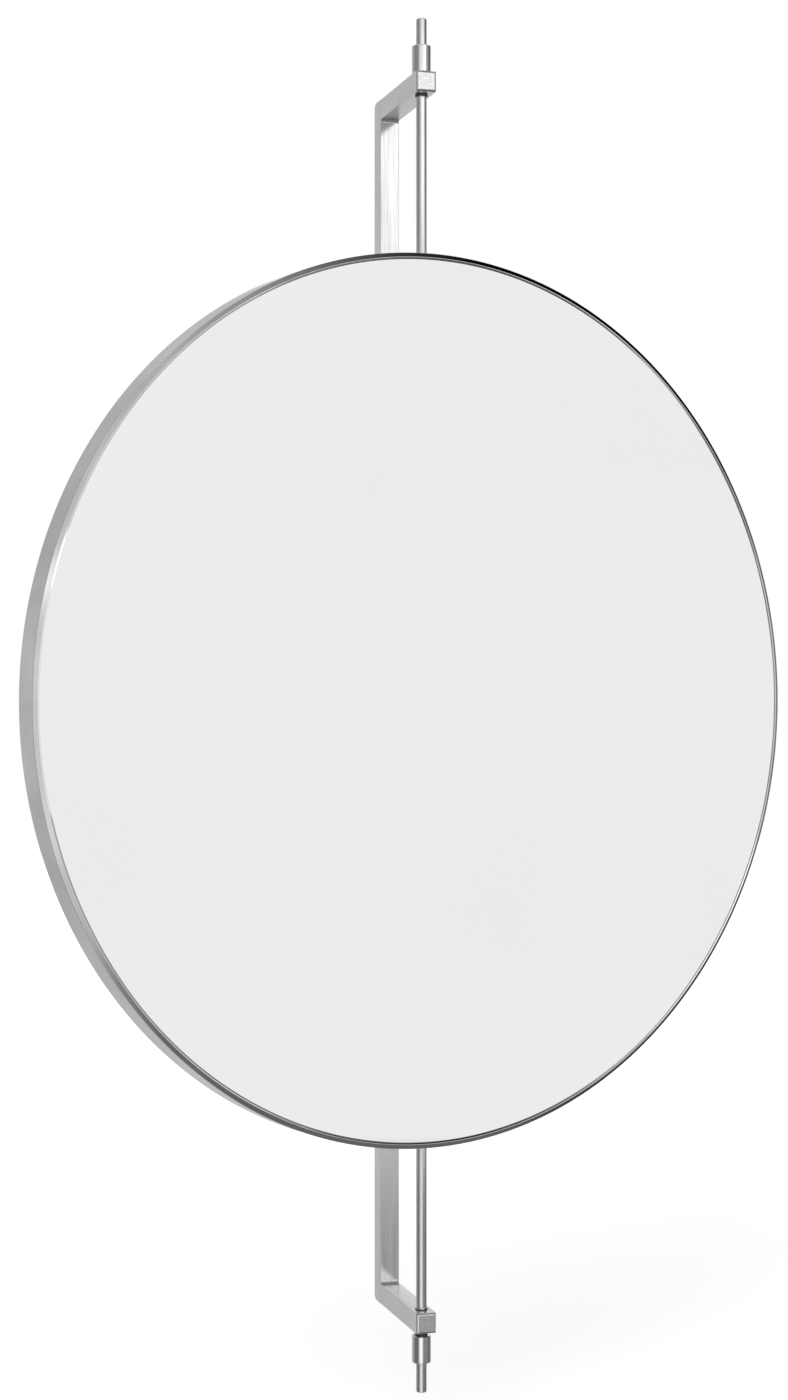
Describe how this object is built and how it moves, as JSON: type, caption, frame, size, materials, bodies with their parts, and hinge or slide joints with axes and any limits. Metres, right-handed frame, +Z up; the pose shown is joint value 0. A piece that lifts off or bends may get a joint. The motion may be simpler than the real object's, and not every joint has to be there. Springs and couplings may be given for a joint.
{
  "type": "swivelling wall mirror",
  "caption": "Round framed mirror on an upright rod that swivels in the ends of two short arms on a wall bar.",
  "frame": {"origin": "centre of the wall bar's face on the wall", "axes": "+Z up, +Y into the wall, +X to the right as one faces the mirror"},
  "size_m": [0.5821, 0.1971, 0.936],
  "materials": {
    "steel": "satin brushed",
    "rim_steel": "satin brushed",
    "screw_steel": "plain",
    "black_plastic": "matt",
    "silvered_glass": "polished",
    "foam_tape": "matt",
    "board": "fibreboard",
    "plate_aluminium": "satin",
    "clamp_aluminium": "satin"
  },
  "bodies": {
    "bracket": {"wall_bar": "steel", "upper_arm": "steel", "upper_arm_screw": "screw_steel", "upper_outer_bush": "black_plastic", "upper_inner_bush": "black_plastic", "lower_arm": "steel", "lower_arm_screw": "screw_steel", "lower_outer_bush": "black_plastic", "lower_inner_bush": "black_plastic"},
    "mirror": {"pivot_rod": "steel", "upper_collar": "steel", "lower_collar": "steel", "mirror_rim": "rim_steel", "rim_lugs": "rim_steel", "upper_collar_screw": "screw_steel", "lower_collar_screw": "screw_steel", "upper_clamp_grub_screw": "screw_steel", "lower_clamp_grub_screw": "screw_steel", "back_plate_screws": "screw_steel", "clamp_screws": "screw_steel", "clamp_nuts": "screw_steel", "mirror_glass": "silvered_glass", "tape_strips": "foam_tape", "backing_board": "board", "back_plate": "plate_aluminium", "upper_rod_clamp": "clamp_aluminium", "lower_rod_clamp": "clamp_aluminium"}
  },
  "joints": [
    {"name": "mirror_swivel", "type": "hinge", "parent": "bracket", "child": "mirror", "pos_m": [0, -0.0885, 0], "axis": [0, 0, 1], "range_deg": [-34, 2]}
  ]
}
